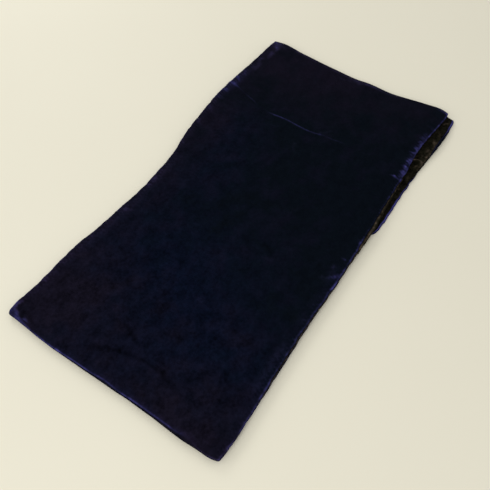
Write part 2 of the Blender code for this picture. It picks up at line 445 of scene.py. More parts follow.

# How strong the painted highlight along each rim's roll is, how far over the right one's roll its crest
# lies, and how strong the broad band inside the left rim is, a painted highlight that also tints the pile
# violet. All other crests lie at RIM_CREST, and each stays at least CREST_TO_SEAM outside the seam.
UPPER_RIM_GLOW = (
    # y, left, right, right_crest, left_band
    (-284, 0.48, 0.32, -1.0, 0.04),
    (-275, 0.48, 0.32, -1.1, 0.04),
    (-269, 0.46, 0.44, -1.2, 0.06),
    (-262, 0.36, 0.40, -1.2, 0.10),
    (-246, 0.34, 0.34, -1.1, 0.20),
    (-236, 0.36, 0.54, -1.2, 0.20),
    (-222, 0.40, 0.42, -1.3, 0.17),
    (-205, 0.44, 0.54, -2.4, 0.12),
    (-190, 0.42, 0.42, -2.4, 0.14),
    (-175, 0.36, 0.24, -1.9, 0.12),
    (-160, 0.30, 0.30, -2.4, 0.12),
    (-145, 0.26, 0.28, -2.8, 0.09),
    (-130, 0.34, 0.36, -3.6, 0.14),
    (-115, 0.40, 0.34, -2.8, 0.13),
    (-98, 0.34, 0.36, -3.5, 0.08),
    (-85, 0.28, 0.32, -3.0, 0.04),
    (-70, 0.36, 0.38, -3.3, 0.11),
    (-60, 0.38, 0.84, -3.0, 0.18),
    (-48, 0.36, 0.44, -2.5, 0.22),
    (-36, 0.42, 0.56, -2.8, 0.16),
    (-28, 0.42, 0.18, -2.7, 0.14),
    (-18, 0.32, 0.54, -2.6, 0.09),
    (0, 0.28, 0.42, -3.9, 0.06),
    (9, 0.34, 0.50, -5.6, 0.08),
    (17, 0.34, 0.28, -5.6, 0.08),
    (27, 0.34, 0.20, -6.1, 0.08),
    (50, 0.34, 0.13, -0.9, 0.12),
    (72, 0.34, 0.18, -0.9, 0.08),
    (90, 0.36, 0.28, -0.9, 0.12),
    (118, 0.42, 0.36, -0.9, 0.14),
    (130, 0.50, 0.40, -0.9, 0.14),
    (150, 0.46, 0.38, -0.9, 0.12),
    (172, 0.40, 0.38, -0.9, 0.13),
    (195, 0.36, 0.46, -0.9, 0.06),
    (215, 0.40, 0.60, -0.9, 0.06),
    (262, 0.44, 0.58, -0.9, 0.12),
    (278, 0.52, 0.70, -0.9, 0.12),
)
# The same painted highlight on the lower stretch's rims; below zero it is painted shade.
LOWER_RIM_GLOW = (
    # y, left, right
    (-284, 0.50, 0.40),
    (0, 0.34, 0.40),
    (28, 0.30, 0.66),
    (50, 0.30, 0.88),
    (92, 0.30, 0.88),
    (112, 0.30, 0.64),
    (140, 0.30, 0.58),
    (152, 0.30, 0.30),
    (165, 0.30, 0.12),
    (190, 0.30, -0.10),
    (200, 0.30, -0.60),
    (228, 0.30, -0.60),
    (240, 0.30, 0.40),
    (252, 0.30, 0.78),
    (278, 0.32, 0.76),
)
RIM_CREST, CREST_TO_SEAM = -0.9 * MM, 1.1 * MM
RIM_GLOW_WIDTH, RIM_GLOW_VARIES, RIM_GLOW_WAVE = 1.4 * MM, 0.22, 9 * MM
LEFT_BAND_IN, LEFT_BAND_WIDTH, LEFT_BAND_VIOLET = 3.6 * MM, 5.0 * MM, 2.2
LEFT_BAND_VARIES, LEFT_BAND_WAVE = 0.25, 12 * MM

# The second line of painted highlight on the lower stretch, along its seams. The table gives the right one,
# where the navy cloth rolls in over the rim. The left one is as strong as the painted highlight on its
# roll.
ROLLED_IN_GLOW = (
    # y, strength, outside_seam, width
    (-284, 0.35, 0.8, 0.9),
    (28, 0.60, 0.9, 1.0),
    (50, 1.00, 1.2, 1.3),
    (90, 1.00, 1.2, 1.3),
    (112, 0.72, 1.0, 1.1),
    (128, 0.62, 0.8, 0.9),
    (140, 0.40, 0.8, 0.9),
    (152, 0.20, 0.8, 0.9),
    (178, 0.20, 0.8, 0.9),
    (192, 0.36, 0.4, 0.6),
    (205, 0.46, 0.3, 0.5),
    (226, 0.46, 0.3, 0.5),
    (238, 0.62, 0.9, 1.0),
    (250, 0.90, 1.3, 1.5),
    (262, 0.90, 1.3, 1.5),
    (278, 0.70, 0.8, 0.9),
)
SEAM_GLOW_OUTSIDE, SEAM_GLOW_WIDTH = 0.8 * MM, 0.9 * MM

# Painted highlights and shade along the stitches, a little aslant inside the upper stretch's rims.
STITCH_LENGTH, STITCH_SLANT, STITCH_GLOW = 4.2 * MM, 0.4, 0.09
STITCH_IN, STITCH_WIDTH = 6 * MM, 3.5 * MM

# How strong the painted highlight along each fold is. The near fold's has a crest, so far over its round
# from its outermost line, with a soft skirt on the upper side of it and painted shade below it. The far
# fold's painted highlight lies FAR_GLOW_OVER over its round.
FOLD_GLOW = (
    # x, near, near_crest, near_width, near_skirt, near_shade, far
    (-142, 0.46, 3.8, 5.4, 0.00, 0.00, 0.46),
    (-134, 0.48, 3.4, 5.0, 0.00, 0.00, 0.30),
    (-127, 0.58, 2.8, 4.4, 0.00, 0.00, 0.26),
    (-122, 0.62, 2.5, 3.8, 0.00, 0.00, 0.22),
    (-116, 0.64, 2.4, 3.4, 0.00, 0.00, 0.20),
    (-110, 0.50, 2.1, 2.2, 0.00, 0.00, 0.20),
    (-100, 0.62, 1.9, 1.7, 0.05, 0.00, 0.30),
    (-80, 0.70, 1.8, 1.4, 0.10, 0.00, 0.26),
    (-60, 0.88, 2.6, 1.3, 0.14, 0.00, 0.20),
    (-40, 0.70, 3.4, 1.1, 0.08, 0.12, 0.21),
    (-20, 0.60, 3.4, 1.1, 0.13, 0.24, 0.23),
    (0, 0.39, 5.0, 1.1, 0.14, 0.32, 0.25),
    (20, 0.44, 3.4, 1.1, 0.15, 0.28, 0.27),
    (40, 0.56, 4.0, 1.1, 0.16, 0.32, 0.26),
    (60, 0.46, 4.2, 1.1, 0.15, 0.34, 0.25),
    (75, 0.44, 4.8, 1.1, 0.12, 0.40, 0.18),
    (90, 0.30, 5.3, 1.2, 0.10, 0.44, 0.03),
    (105, 0.06, 6.5, 2.5, 0.18, 0.30, 0.00),
    (120, 0.20, 2.8, 1.3, 0.06, 0.00, 0.04),
    (132, 0.32, 2.4, 1.4, 0.04, 0.00, 0.34),
    (144, 0.36, 2.4, 1.6, 0.00, 0.00, 0.40),
)
SKIRT_OVER, SKIRT_WIDTH = 2.6 * MM, 3.4 * MM
SHADE_OVER, SHADE_WIDTH = 0.6 * MM, 1.6 * MM
FAR_GLOW_OVER, FAR_GLOW_WIDTH = 7.2 * MM, 2.4 * MM
FOLD_GLOW_VARIES, FOLD_GLOW_WAVE = 0.2, 12 * MM

# Where the painted highlight takes its full cool blue however weak it is: along the near fold, as far to
# the right as NEAR_COOL_END, and along the rims and the crease.
NEAR_COOL_OVER, NEAR_COOL_WIDTH = 3.5 * MM, 5.0 * MM
NEAR_COOL_END, NEAR_COOL_FADE = 108 * MM, 12 * MM
RIM_COOL = (
    # y, left, right
    (-284, 0.0, 0.0),
    (-215, 0.0, 0.3),
    (-130, 0.0, 0.5),
    (-75, 0.0, 0.8),
    (-60, 0.2, 1.0),
    (100, 0.2, 1.0),
    (125, 0.9, 1.0),
    (170, 0.9, 1.0),
    (195, 0.2, 1.0),
    (278, 0.3, 1.0),
)
RIM_COOL_WIDTH = 16 * MM

# The weak broad painted highlight some way inside the upper stretch's rims.
INNER_GLOW = (
    # y, left, right
    (-284, 0.00, 0.00),
    (-262, 0.00, 0.00),
    (-246, 0.06, 0.00),
    (-225, 0.07, 0.00),
    (-210, 0.08, 0.10),
    (-200, 0.09, 0.16),
    (-185, 0.12, 0.18),
    (-170, 0.15, 0.18),
    (-150, 0.14, 0.16),
    (-130, 0.13, 0.04),
    (-115, 0.11, 0.12),
    (-100, 0.13, 0.06),
    (-88, 0.17, 0.12),
    (-70, 0.09, 0.04),
    (-55, 0.12, 0.12),
    (-45, 0.12, 0.14),
    (-30, 0.13, 0.04),
    (-10, 0.10, 0.02),
    (10, 0.05, 0.00),
    (50, 0.04, 0.00),
    (70, 0.00, 0.00),
    (90, 0.10, 0.00),
    (112, 0.04, 0.00),
    (130, 0.12, 0.00),
    (150, 0.17, 0.00),
    (170, 0.19, 0.00),
    (190, 0.18, 0.00),
    (205, 0.06, 0.00),
    (230, 0.09, 0.00),
    (278, 0.00, 0.00),
)
INNER_GLOW_IN, INNER_GLOW_WIDTH = 10.5 * MM, 6 * MM

# How strong the painted highlight on the brown pile is where it rolls out over the upper stretch's right
# rim, how far over the roll it is brightest, and how wide that line is.
ROLLED_GLOW = (
    # y, strength, crest, width
    (-284, 0.28, -0.6, 1.9),
    (-215, 0.30, -0.6, 1.9),
    (-200, 0.42, -0.6, 1.9),
    (-70, 0.44, -0.6, 1.9),
    (-50, 0.38, -0.8, 1.9),
    (-20, 0.56, -1.0, 1.9),
    (0, 0.64, -1.3, 1.9),
    (10, 0.62, -1.8, 1.9),
    (28, 0.62, -2.3, 1.8),
    (45, 0.62, -3.4, 1.5),
    (60, 0.56, -3.6, 1.3),
    (80, 0.48, -2.6, 1.2),
    (110, 0.42, -1.6, 1.1),
    (135, 0.32, -1.2, 1.2),
)
# How unevenly that painted highlight runs, and a small random painted lightening and darkening of the brown
# pile.
ROLLED_EVEN, ROLLED_VARIES, ROLLED_WAVE = 0.75, 0.3, 8 * MM
BROWN_VARIES, BROWN_WAVE = 0.07, 6 * MM

# The broad tints of the pile: where the navy turns violet, or blue and a little lighter.
TINT_ROWS = (
    # x, y, reach_x, reach_y, violet, blue
    (-120, -238, 74, 62, 1.00, 0.40),
    (110, -275, 90, 45, 0.90, 0.45),
    (0, -262, 120, 34, 0.20, 0.75),
    (-60, 240, 120, 62, 0.95, 0.00),
    (100, 255, 60, 45, 0.35, 0.00),
    (-128, 70, 30, 90, 0.60, 0.10),
    (-118, -95, 42, 90, 0.50, 0.50),
    (112, -190, 42, 60, 0.22, 0.35),
    (-90, 85, 45, 45, 0.15, 0.50),
    (-20, -130, 110, 80, 0.06, 0.80),
    (60, -200, 90, 50, 0.15, 0.85),
    (-70, 10, 50, 60, 0.10, 0.50),
    (-50, -210, 60, 50, 0.25, 0.70),
)

# The colours of both piles: face on and tinted, and of their painted highlight, in full (glow) and faint
# (haze).
NAVY = (0.0022, 0.0037, 0.0067)
NAVY_VIOLET = (0.0056, 0.0047, 0.0102)
NAVY_BLUE = (0.0022, 0.0039, 0.0120)
NAVY_GLOW = (0.056, 0.053, 0.210)
NAVY_HAZE = (0.072, 0.074, 0.165)
NAVY_VIOLET_HAZE = (0.090, 0.062, 0.180)
BROWN = (0.0075, 0.0070, 0.0042)
BROWN_GLOW = (0.110, 0.078, 0.062)
BROWN_HAZE = (0.110, 0.082, 0.056)

# The noise in both piles, most of which lies between NOISE_LOW and NOISE_HIGH. Wide patches break up the
# tints' edges, crushed ones, drawn out along the nap, and smaller pressed ones mottle the pile, and fibres
# grain it.
NOISE_LOW, NOISE_HIGH = 0.3, 0.7
TINT_PATCH, TINT_VARIES = 26 * MM, 0.35
NAP = (1.0, 0.7, 1.0)
CRUSHED_VARIES = 0.5
PRESSED_SIZE, PRESSED_VARIES = 0.37, 0.35
FIBRE_SIZE, FIBRE_SHADES = 0.7 * MM, (0.86, 1.14)

# How dark the painted shade is where the glow falls below zero, how pressed patches break up the painted
# highlight, between which strengths it turns from its haze to its full colour, and how slowly it sets in.
HOLLOW_SHADE = 0.25
GLOW_SHADES = (0.74, 1.18)
FULL_HIGHLIGHT_RANGE = (0.2, 0.8)
GLOW_POWER = 1.8

# The table: a wide square just under the cloth, with clouds of two tones
TABLE_HALF, TABLE_LEVEL = 3.0, -0.2 * MM
TABLE_TONES = ((0.815, 0.777, 0.634), (0.825, 0.787, 0.644))
TABLE_CLOUD = 0.3

# The light: a white room, and white lamps that face the snood
ROOM_LIGHT = 0.69
LAMP_SIZE = 0.6
LAMPS = (
    # name, place, power
    ("left lamp", (-1.2, 0.6, 0.8), 4.2),
    ("corner lamp", (-1.1, -0.9, 0.8), 1.6),
    ("near lamp", (0.1, -1.2, 1.0), 5.5),
)

# The photograph's camera, in metres in the pattern's axes, and the photograph's width in pixels
PICTURE = 490
FOCAL_PIXELS = 583
CAMERA_PLACE = (0.2321, -0.3771, 0.5839)
CAMERA_HEADING = (-0.5442, 0.8390)
CAMERA_PITCH = math.radians(57)
CAMERA_ROLL = math.radians(0.5)


def smooth(share):
    """Eases from 0 to 1, with no slope at either end."""
    share = np.clip(share, 0.0, 1.0)
    return share * share * (3 - 2 * share)


def column(rows, at, index):
    """One column of a table at places between its rows, on a smooth curve."""
    keys = np.array([row[0] for row in rows]) * MM
    values = np.array([row[index] for row in rows], float)
    before = np.maximum(np.arange(len(keys)) - 1, 0)
    after = np.minimum(np.arange(len(keys)) + 1, len(keys) - 1)
    slopes = (values[after] - values[before]) / (keys[after] - keys[before])
    at = np.clip(at, keys[0], keys[-1])
    low = np.clip(np.searchsorted(keys, at, side="right") - 1, 0, len(keys) - 2)
    high = low + 1
    span = keys[high] - keys[low]
    share = (at - keys[low]) / span
    rest = 1 - share
    start = (1 + 2 * share) * rest**2 * values[low] + share * rest**2 * span * slopes[low]
    end = share * share * (3 - 2 * share) * values[high] - share * share * rest * span * slopes[high]
    return start + end


def length(rows, at, index):
    """A column that holds lengths in millimetres, in metres."""
    return column(rows, at, index) * MM


def bump(distance, reach):
    """A soft round bump of height 1 that ends at its reach."""
    return 1 - smooth(np.abs(distance) / reach)


def hill(distance, width):
    """A soft round hill of height 1."""
    return np.exp(-((distance / width) ** 2))


def patch(x, y, middle_x, middle_y, reach_x, reach_y):
    """A soft hill of height 1 over a patch of the cloth, its middle and reaches in millimetres."""
    return hill(x - middle_x * MM, reach_x * MM) * hill(y - middle_y * MM, reach_y * MM)


def uneven(x, y, wave, seed):
    """Smooth unevenness of about unit size over the cloth: a sum of waves that run all ways."""
    least, most = (0, SHORTEST_WAVE, 0), (math.pi, LONGEST_WAVE, 2 * math.pi)
    total = 0.0
    for heading, stretch, phase in np.random.default_rng(seed).uniform(least, most, (WAVES, 3)):
        along = x * math.cos(heading) + y * math.sin(heading)
        total = total + np.cos(2 * math.pi * along / (wave * stretch) + phase)
    return total / math.sqrt(WAVES / 2)


def varied(amount, x, y, wave, seed):
    """A factor about 1 that varies over the cloth by about that amount."""
    return 1 + amount * uneven(x, y, wave, seed)


def on_line(x, y, start_x, start_y, end_x, end_y, width):
    """1 at the start of a short line on the cloth, fading over its width, and narrower to its end."""
    run_x, run_y = end_x - start_x, end_y - start_y
    share = ((x - start_x) * run_x + (y - start_y) * run_y) / (run_x**2 + run_y**2)
    share = np.clip(share, 0.0, 1.0)
    off = np.hypot(x - start_x - share * run_x, y - start_y - share * run_y)
    return hill(off, width * (MARK_WIDTH - MARK_NARROWS * share)) * (1 - MARK_FADES * share)


def marks(rows, x, y, index):
    """The sum of a table's short marks at x, y, each with the weight in its column."""
    bent_x = x + MARK_BEND * uneven(x, y, BEND_WAVE_X, seed=71)
    bent_y = y + MARK_BEND * uneven(x, y, BEND_WAVE_Y, seed=72)
    total = np.zeros(np.broadcast(x, y).shape)
    for row in rows:
        total += row[index] * on_line(bent_x, bent_y, *(value * MM for value in row[:5]))
    return total


def swells(x, y):
    """How far the upper stretch stands above its even height: broad swells, the crease and the marks."""
    height = np.zeros(np.broadcast(x, y).shape)
    for *place, rise in SWELL_ROWS:
        height += rise * patch(x, y, *place)
    off = y - length(CREASE_ROWS, x, 1)
    ridge = CREASE_SOFT * bump(off, CREASE_REACH) + CREASE_SHARP * hill(off, CREASE_EDGE)
    height += column(CREASE_ROWS, x, 2) * ridge
    height += UPPER_MARK_SHARE * marks(UPPER_MARKS, x, y, 5)
    for wave, rise, seed in UNEVEN_ROWS:
        height += rise * uneven(x, y, wave * MM, seed)
    return height * MM


def curl_and_marks(x, y, depth):
    """How far the lower stretch rises: its curled right rim, its pressed creases and its brown ridges."""
    from_rim = length(LOWER_ROWS, y, 2) - x
    curl = np.clip(1 - from_rim / CURL_REACH, 0, 1) ** CURL_POWER * length(CURL_ROWS, y, 1)
    inner = np.clip(2 * depth / DOUBLE_CLOTH - 1, 0, 1)
    return curl + (marks(UNDER_MARKS, x, y, 5) + inner * marks(LINING_MARKS, x, y, 5)) * MM


class Loop:
    """The stations round the loop: far along the lower stretch and back along the upper one.

    part and share say where each station is, upper how far its rims are the upper stretch's, level how much
    of that stretch's swells it has, and middle_y its y where x is 0.
    """

    def __init__(self):
        inside = np.arange(1, FOLD_STEPS) / FOLD_STEPS
        lower, upper = self.shares(LOWER_STEPS), self.shares(UPPER_STEPS)[::-1]
        parts = (("lower", lower), ("far", inside), ("upper", upper), ("near", inside[::-1]))
        self.part = np.concatenate([np.full(len(shares), part) for part, shares in parts])[:, None]
        self.share = np.concatenate([shares for part, shares in parts])[:, None]
        turned = smooth(self.share / np.where(self.part == "far", RIM_TURN, 1.0))
        self.upper = np.where(self.part == "upper", 1.0, np.where(self.part == "lower", 0.0, turned))
        self.level = np.sqrt(np.sin(math.pi * self.share))
        self.middle_y = self.place(np.zeros((len(self.share), 1)), 0.0)[:, :, 1]

    @staticmethod
    def shares(step_rows):
        """The shares of the way along a stretch, a step apart that depends on the place."""
        low, high = FOLD_ROWS[0][1] * MM, FOLD_ROWS[0][3] * MM
        y, places = low, []
        while y < high - LAST_STEP:
            places.append(y)
            y += float(length(step_rows, y, 1))
        return np.append((np.array(places) - low) / (high - low), 1.0)

    def blend(self, upper_rows, lower_rows, side):
        """A column for one side's rim at every station, turning from the lower to the upper stretch."""
        lower = column(lower_rows, self.middle_y, side)
        return lower + (column(upper_rows, self.middle_y, side) - lower) * self.upper

    def rim(self, side):
        """The x of the left (1) or right (2) rim, with the small waves of its stitches."""
        x = self.blend(UPPER_ROWS, LOWER_ROWS, side)
        for wave, reach, seed in RIM_WAVE_ROWS:
            x = x + reach * uneven(0.0, self.middle_y, wave * MM, seed + side)
        return x * MM

    def place(self, x, depth):
        """The points at x that lie depth inside the loop's outer face."""
        near_radius, far_radius = length(FOLD_ROWS, x, 2) / 2, length(FOLD_ROWS, x, 4) / 2
        near_y = length(FOLD_ROWS, x, 1) + near_radius
        far_y = length(FOLD_ROWS, x, 3) - far_radius
        angle = math.pi * (self.share - 0.5)
        is_near = self.part == "near"
        middle_z = np.where(is_near, near_radius, far_radius)
        radius = middle_z + FOLD_WAVE_REACH * uneven(x, 0.0, FOLD_WAVE, seed=31) * np.cos(angle) - depth
        beyond = radius * np.cos(angle)
        turn_y = np.where(is_near, near_y - beyond, far_y + beyond)
        turn_z = middle_z + radius * np.sin(angle)
        y = near_y + (far_y - near_y) * self.share
        top = 2 * (near_radius + (far_radius - near_radius) * smooth(self.share))
        top = top + swells(x, y) * self.level - depth
        bottom = depth + curl_and_marks(x, y, depth)
        on_upper, on_lower = self.part == "upper", self.part == "lower"
        y = np.where(on_upper | on_lower, y, turn_y)
        z = np.where(on_upper, top, np.where(on_lower, bottom, turn_z))
        return np.stack(np.broadcast_arrays(x, y, z), axis=-1)


def over_rim(rim, side, along, inset):
    """Points on the double cloth near a rim, as x and depth.

    along is the distance over the roll from its outermost line: below zero on the outer face, above it on
    the inner face. inset is the distance under the surface. side is -1 at the left rim, 1 at the right.
    """
    quarter = ROLL * math.pi / 2
    turn = np.clip(along, -quarter, quarter) / ROLL
    run = np.maximum(np.abs(along) - quarter, 0.0)
    radius = ROLL - inset
    return rim - side * (ROLL + run - radius * np.cos(turn)), ROLL + radius * np.sin(turn)


def edge_steps(reach):
    """Distances from a seam inwards, and how far the rounded edge lies under the surface there."""
    turn = np.linspace(0, math.pi / 2, ROUND_COLUMNS + 1)
    rounded = SEAM_ROUND * (1 - np.cos(turn))
    under = SEAM_ROUND * (1 - np.sin(turn))
    run = (np.arange(1, EDGE_COLUMNS + 1) / EDGE_COLUMNS) ** EDGE_CROWDING
    steps = np.concatenate([rounded, SEAM_ROUND + (reach - SEAM_ROUND) * run])
    return steps[None, :], np.concatenate([under, np.zeros(EDGE_COLUMNS)])[None, :]


def edge(loop, face, reach, side, index):
    """One cloth's columns at one rim, from the seam inwards: those that show, and the hidden ones."""
    steps, under = edge_steps(reach)
    rim = loop.rim(index)
    seam = loop.blend(UPPER_SEAM_ROWS, LOWER_SEAM_ROWS, index) * MM + face * SEAM_GAP / 2
    shown = seam + face * steps
    hidden = seam + face * np.array([[0.0, HIDDEN_EDGE, reach]])
    return (*over_rim(rim, side, shown, under), shown), (*over_rim(rim, side, hidden, WALL), hidden)


def section(loop, face, reach, middle_columns):
    """One cloth's closed section at every station: x, depth and distance over the roll.

    face is -1 for the navy cloth, which shows outside, and 1 for the lining. The section runs along the
    face that shows from the left seam to the right one, and back along its hidden side.
    """
    (left, left_hidden), (right, right_hidden) = [edge(loop, face, reach, *side) for side in SIDES]
    flat = 0.0 if face < 0 else DOUBLE_CLOTH

    def across(count, start, end, depth):
        """Even columns between the innermost ones of two edges."""
        share = np.arange(1, count) / count
        x = start[0][:, -1:] + (end[0][:, -1:] - start[0][:, -1:]) * share[None, :]
        return x, np.full_like(x, depth), np.full_like(x, face)

    def outwards(columns):
        """An edge's columns in the other order, from the inside to the seam."""
        return [values[:, ::-1] for values in columns]

    shown = (left, across(middle_columns, left, right, flat), outwards(right))
    back = across(HIDDEN_MIDDLE, right_hidden, left_hidden, flat - face * WALL)
    return [np.hstack(values) for values in zip(*shown, right_hidden, back, outwards(left_hidden))]


def ring(name, points, values, material):
    """A closed ring of cloth, with attributes that hold its pile's painted highlight and shade, and tints,
    at each point.
    """
    stations, columns = points.shape[:2]
    index = np.arange(stations * columns).reshape(stations, columns)
    after, beside = np.roll(index, -1, axis=0), np.roll(index, -1, axis=1)
    both = np.roll(after, -1, axis=1)
    faces = np.stack([index, after, both, beside], axis=-1).reshape(-1, 4)
    mesh = bpy.data.meshes.new(name)
    mesh.from_pydata(points.reshape(-1, 3).tolist(), [], faces.tolist())
    for attribute, value in values.items():
        mesh.attributes.new(attribute, "FLOAT", "POINT").data.foreach_set("value", value.ravel())
    mesh.shade_smooth()
    mesh.materials.append(material)
    piece = bpy.data.objects.new(name, mesh)
    bpy.context.scene.collection.objects.link(piece)
    return piece


def over_fold(loop, fold, x, y):
    """How far each point lies over the near or far fold's round from its outermost line."""
    index, inwards = (1, 1) if fold == "near" else (3, -1)
    radius = length(FOLD_ROWS, x, index + 1) / 2
    beyond = radius * (math.pi / 2 - 1) + inwards * (y - length(FOLD_ROWS, x, index))
    return np.where(loop.part == fold, radius * math.pi * (loop.share - 0.5), beyond)


def inside_rims(loop, x, rows, middle, width):
    """A table's left and right columns, each on a hill whose middle lies that far inside its rim."""
    left = column(rows, loop.middle_y, 1) * hill(x - loop.rim(1) - middle, width)
    return left + column(rows, loop.middle_y, 2) * hill(loop.rim(2) - x - middle, width)


def rim_glow(loop, x, y, along):
    """The navy pile's painted highlight and shade at both rims: on the roll, at the lower stretch's seam,
    and at the stitches.
    """
    painted_light = np.zeros_like(x)
    for side, index in SIDES:
        strength = loop.blend(UPPER_RIM_GLOW, LOWER_RIM_GLOW, index)
        strength = strength * varied(RIM_GLOW_VARIES, 0.0, loop.middle_y, RIM_GLOW_WAVE, seed=40 + index)
        seam = loop.blend(UPPER_SEAM_ROWS, LOWER_SEAM_ROWS, index) * MM
        crest = np.full_like(seam, RIM_CREST)
        if side > 0:
            crest += (length(UPPER_RIM_GLOW, loop.middle_y, 3) - RIM_CREST) * loop.upper
            outside = length(ROLLED_IN_GLOW, loop.middle_y, 2)
            at_seam = hill(along - seam + outside, length(ROLLED_IN_GLOW, loop.middle_y, 3))
            at_seam = column(ROLLED_IN_GLOW, loop.middle_y, 1) * at_seam
        else:
            at_seam = strength * hill(along - seam + SEAM_GLOW_OUTSIDE, SEAM_GLOW_WIDTH)
        on_roll = strength * hill(along - np.minimum(crest, seam - CREST_TO_SEAM), RIM_GLOW_WIDTH)
        # Painted highlights and shade along the stitches.
        stitch_light = np.cos(2 * math.pi * (y + STITCH_SLANT * x) / STITCH_LENGTH)
        stitch_light = STITCH_GLOW * stitch_light * hill(along + STITCH_IN, STITCH_WIDTH) * (loop.part == "upper")
        near_rim = (x > 0) == (side > 0)
        painted_light += np.where(near_rim, on_roll + at_seam * (1 - loop.upper) + stitch_light, 0.0)
    return painted_light


def fold_glow(loop, x, y):
    """The navy pile's painted highlight along both folds, with the near one's skirt and painted shade."""
    on_upper = loop.part == "upper"
    spots = varied(FOLD_GLOW_VARIES, x, 0.0, FOLD_GLOW_WAVE, seed=51)
    over = over_fold(loop, "near", x, y)
    over_crest = over - length(FOLD_GLOW, x, 2)
    near = column(FOLD_GLOW, x, 1) * hill(over_crest, length(FOLD_GLOW, x, 3)) * spots
    near += column(FOLD_GLOW, x, 4) * hill(over_crest - SKIRT_OVER, SKIRT_WIDTH)
    near -= column(FOLD_GLOW, x, 5) * hill(over - SHADE_OVER, SHADE_WIDTH)
    far = column(FOLD_GLOW, x, 6) * spots
    far = far * hill(over_fold(loop, "far", x, y) - FAR_GLOW_OVER, FAR_GLOW_WIDTH)
    at_near, at_far = (loop.part == "near") | on_upper, (loop.part == "far") | on_upper
    return np.where(at_near, near, 0.0) + np.where(at_far, far, 0.0)


def outer_values(loop, x, along, points):
    """The navy pile's painted highlight and shade, how cool that highlight is, and the pile's broad tints.
    """
    y, on_upper = points[:, :, 1], loop.part == "upper"
    from_crease = y - length(CREASE_ROWS, x, 1)

    painted_light = np.where(on_upper, marks(UPPER_MARKS, x, y, 6), 0.0)
    painted_light += np.where(loop.part == "lower", marks(UNDER_MARKS, x, y, 6), 0.0)
    crease = column(CREASE_ROWS, x, 3) * hill(from_crease - CREASE_GLOW_BEYOND, CREASE_GLOW_WIDTH)
    band = column(UPPER_RIM_GLOW, loop.middle_y, 4) * hill(along + LEFT_BAND_IN, LEFT_BAND_WIDTH)
    band = band * varied(LEFT_BAND_VARIES, x, y, LEFT_BAND_WAVE, seed=43)
    band = np.where((x < 0) & on_upper, band, 0.0)
    inner = inside_rims(loop, x, INNER_GLOW, INNER_GLOW_IN, INNER_GLOW_WIDTH)
    painted_light += band + np.where(on_upper, crease + inner, 0.0)
    painted_light += rim_glow(loop, x, y, along) + fold_glow(loop, x, y)

    cool = hill(over_fold(loop, "near", x, y) - NEAR_COOL_OVER, NEAR_COOL_WIDTH)
    cool = cool * smooth((NEAR_COOL_END - x) / NEAR_COOL_FADE)
    cool += inside_rims(loop, x, RIM_COOL, 0.0, RIM_COOL_WIDTH)
    cool += CREASE_COOL * hill(from_crease, CREASE_REACH) * on_upper

    violet, blue = LEFT_BAND_VIOLET * band, np.zeros_like(x)
    for *place, violet_there, blue_there in TINT_ROWS:
        there = patch(x, y, *place)
        violet, blue = violet + violet_there * there, blue + blue_there * there
    shares = {"violet": violet, "blue": blue, "cool": cool}
    return {"painted_light": np.clip(painted_light, -1, 1), **{name: np.clip(value, 0, 1) for name, value in shares.items()}}


def lining_values(loop, x, along, points):
    """The brown pile's painted highlight where it rolls out over the rim and along its ridges,
    and painted shade by its troughs.
    """
    y = points[:, :, 1]
    painted_light = np.where(loop.part == "lower", marks(LINING_MARKS, x, y, 6), 0.0)
    rolled_out = hill(along - length(ROLLED_GLOW, y, 2), length(ROLLED_GLOW, y, 3)) * loop.upper
    spots = ROLLED_EVEN + ROLLED_VARIES * uneven(x, y, ROLLED_WAVE, seed=61)
    painted_light += np.where(x > 0, rolled_out * spots * column(ROLLED_GLOW, y, 1), 0.0)
    painted_light += BROWN_VARIES * uneven(x, y, BROWN_WAVE, seed=62)
    return {"painted_light": np.clip(painted_light, -1, 1)}


